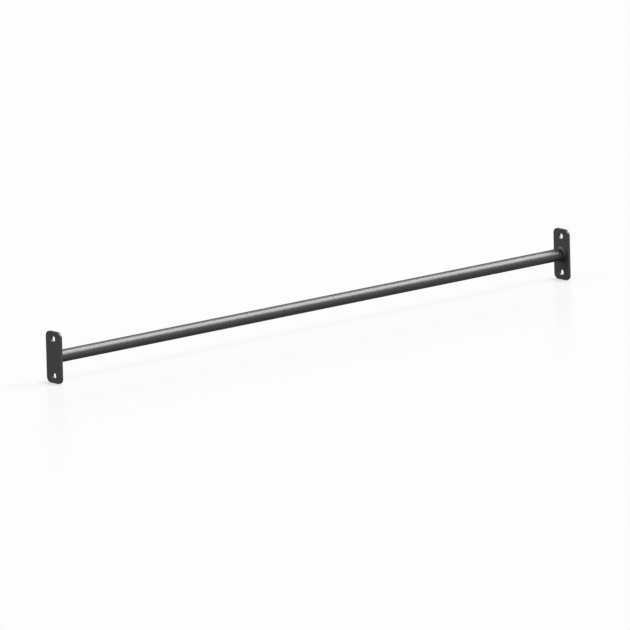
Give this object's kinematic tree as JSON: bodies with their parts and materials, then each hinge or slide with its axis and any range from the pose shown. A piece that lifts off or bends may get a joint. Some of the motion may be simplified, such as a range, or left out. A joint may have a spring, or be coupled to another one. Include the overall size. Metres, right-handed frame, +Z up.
{
  "type": "pull up bar",
  "caption": "Straight round grip tube welded square between two flat rounded end plates, each drilled for bolting to an upright or a wall.",
  "frame": {"origin": "on the grip tube's axis, midway between the two flange plates", "axes": "+X along the bar towards the right plate, +Y across the plates, +Z up along the plates' long side"},
  "size_m": [1.8, 0.06, 0.14],
  "materials": {
    "powder_coat": "satin"
  },
  "bodies": {
    "root": {"bar_tube": "powder_coat", "left_flange_plate": "powder_coat", "right_flange_plate": "powder_coat", "left_weld_bead": "powder_coat", "right_weld_bead": "powder_coat"}
  },
  "joints": []
}
